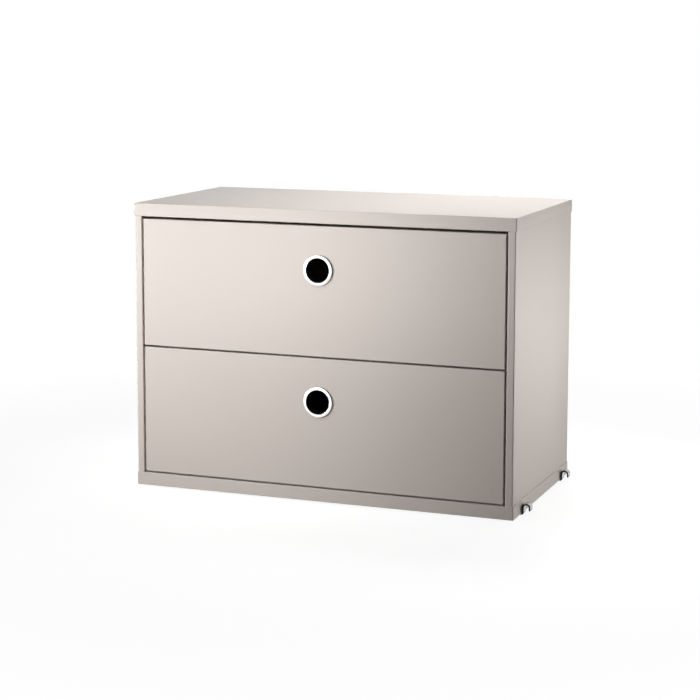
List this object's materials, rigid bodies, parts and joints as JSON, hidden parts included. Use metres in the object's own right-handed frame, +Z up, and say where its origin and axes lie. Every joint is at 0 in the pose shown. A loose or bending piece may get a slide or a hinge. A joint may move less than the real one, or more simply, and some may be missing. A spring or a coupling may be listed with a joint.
{
  "type": "drawer cabinet",
  "caption": "Low lacquered drawer cabinet with flush fronts pulled by round metal finger rings, roller runners inside, and bent hooks under its ends to hang it on rungs.",
  "frame": {"origin": "middle of the whole box, level with the undersides of the hooks' feet", "axes": "+X to the right seen from the front, +Y to the back, +Z up"},
  "size_m": [0.604, 0.303, 0.4225],
  "materials": {
    "lacquer": "satin lacquer, warm light grey",
    "drawer_board": "clear satin lacquer on light plywood",
    "chrome": "polished",
    "runner_steel": "off-white powder coat",
    "roller": "matt nylon",
    "screw": "zinc plated"
  },
  "bodies": {
    "carcass": {"top_panel": "lacquer", "bottom_panel": "lacquer", "left_side_panel": "lacquer", "right_side_panel": "lacquer", "back_panel": "lacquer", "front_left_hook": "chrome", "front_right_hook": "chrome", "rear_left_hook": "chrome", "rear_right_hook": "chrome", "hook_screws": "screw", "lower_left_cabinet_runner": "runner_steel", "lower_right_cabinet_runner": "runner_steel", "lower_front_roller_rivets": "screw", "upper_left_cabinet_runner": "runner_steel", "upper_right_cabinet_runner": "runner_steel", "upper_front_roller_rivets": "screw"},
    "lower_drawer": {"lower_drawer_front": "lacquer", "lower_finger_ring": "chrome", "lower_drawer_back": "drawer_board", "lower_drawer_bottom": "drawer_board", "lower_drawer_left_side": "drawer_board", "lower_left_drawer_runner": "runner_steel", "lower_drawer_right_side": "drawer_board", "lower_right_drawer_runner": "runner_steel", "lower_rear_roller_rivets": "screw"},
    "lower_front_rollers": {"lower_front_rollers": "roller"},
    "lower_rear_rollers": {"lower_rear_rollers": "roller"},
    "upper_drawer": {"upper_drawer_front": "lacquer", "upper_finger_ring": "chrome", "upper_drawer_back": "drawer_board", "upper_drawer_bottom": "drawer_board", "upper_drawer_left_side": "drawer_board", "upper_left_drawer_runner": "runner_steel", "upper_drawer_right_side": "drawer_board", "upper_right_drawer_runner": "runner_steel", "upper_rear_roller_rivets": "screw"},
    "upper_front_rollers": {"upper_front_rollers": "roller"},
    "upper_rear_rollers": {"upper_rear_rollers": "roller"}
  },
  "joints": [
    {"name": "lower_drawer_slide", "type": "slide", "parent": "carcass", "child": "lower_drawer", "axis": [0, -1, 0], "range_m": [0, 0.18]},
    {"name": "lower_front_rollers_spin", "type": "hinge", "parent": "carcass", "child": "lower_front_rollers", "pos_m": [0, -0.1155, 0.047], "axis": [1, 0, 0], "continuous": true},
    {"name": "lower_rear_rollers_spin", "type": "hinge", "parent": "lower_drawer", "child": "lower_rear_rollers", "pos_m": [0, 0.1025, 0.0452], "axis": [1, 0, 0], "continuous": true},
    {"name": "upper_drawer_slide", "type": "slide", "parent": "carcass", "child": "upper_drawer", "axis": [0, -1, 0], "range_m": [0, 0.18]},
    {"name": "upper_front_rollers_spin", "type": "hinge", "parent": "carcass", "child": "upper_front_rollers", "pos_m": [0, -0.1155, 0.23625], "axis": [1, 0, 0], "continuous": true},
    {"name": "upper_rear_rollers_spin", "type": "hinge", "parent": "upper_drawer", "child": "upper_rear_rollers", "pos_m": [0, 0.1025, 0.23445], "axis": [1, 0, 0], "continuous": true}
  ],
  "couplings": [
    {"joint": "lower_front_rollers_spin", "follows": "lower_drawer_slide", "rad_per_m": 90.909},
    {"joint": "lower_rear_rollers_spin", "follows": "lower_drawer_slide", "rad_per_m": 83.333},
    {"joint": "upper_front_rollers_spin", "follows": "upper_drawer_slide", "rad_per_m": 90.909},
    {"joint": "upper_rear_rollers_spin", "follows": "upper_drawer_slide", "rad_per_m": 83.333}
  ]
}
